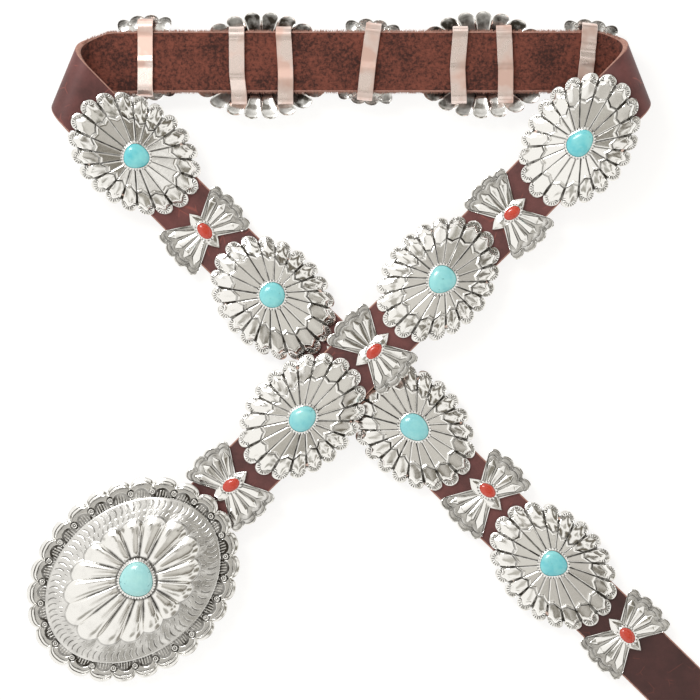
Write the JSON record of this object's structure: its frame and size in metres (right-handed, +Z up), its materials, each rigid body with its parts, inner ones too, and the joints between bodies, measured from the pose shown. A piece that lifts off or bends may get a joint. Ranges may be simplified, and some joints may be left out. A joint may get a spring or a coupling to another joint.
{
  "type": "concho belt",
  "caption": "Leather belt threaded with domed silver conchos and butterfly spacers set with turquoise and coral, with an oval buckle at one end, laid folded and crossed.",
  "frame": {"origin": "under the middle of the whole belt, on the surface that it lies on", "axes": "+Z up from that surface, +X along the back stretch, +Y from the crossing to the back stretch"},
  "size_m": [0.2964, 0.3078, 0.0261],
  "materials": {
    "silver": "polished silver, stamped and darkened in the grooves",
    "leather": "dark oxblood brown grain side, rusty brown napped flesh side",
    "turquoise": "polished pale blue cabochon",
    "coral": "polished orange red cabochon",
    "copper": "bright pale copper strip, bent by hand"
  },
  "bodies": {
    "root": {"strap": "leather", "buckle": "silver", "turquoise_buckle": "turquoise", "concho_free_1": "silver", "turquoise_free_1": "turquoise", "concho_free_2": "silver", "turquoise_free_2": "turquoise", "concho_free_3": "silver", "turquoise_free_3": "turquoise", "concho_free_4": "silver", "turquoise_free_4": "turquoise", "butterfly_free_1": "silver", "coral_free_1": "coral", "butterfly_free_2": "silver", "coral_free_2": "coral", "butterfly_free_3": "silver", "coral_free_3": "coral", "butterfly_free_4": "silver", "coral_free_4": "coral", "concho_buckle_1": "silver", "turquoise_buckle_1": "turquoise", "concho_buckle_2": "silver", "turquoise_buckle_2": "turquoise", "concho_buckle_3": "silver", "turquoise_buckle_3": "turquoise", "butterfly_buckle_1": "silver", "coral_buckle_1": "coral", "butterfly_buckle_2": "silver", "coral_buckle_2": "coral", "butterfly_buckle_3": "silver", "coral_buckle_3": "coral", "concho_back_1": "silver", "turquoise_back_1": "turquoise", "concho_back_2": "silver", "turquoise_back_2": "turquoise", "butterfly_back_1": "silver", "coral_back_1": "coral", "butterfly_back_2": "silver", "coral_back_2": "coral", "butterfly_back_3": "silver", "coral_back_3": "coral"}
  },
  "joints": []
}
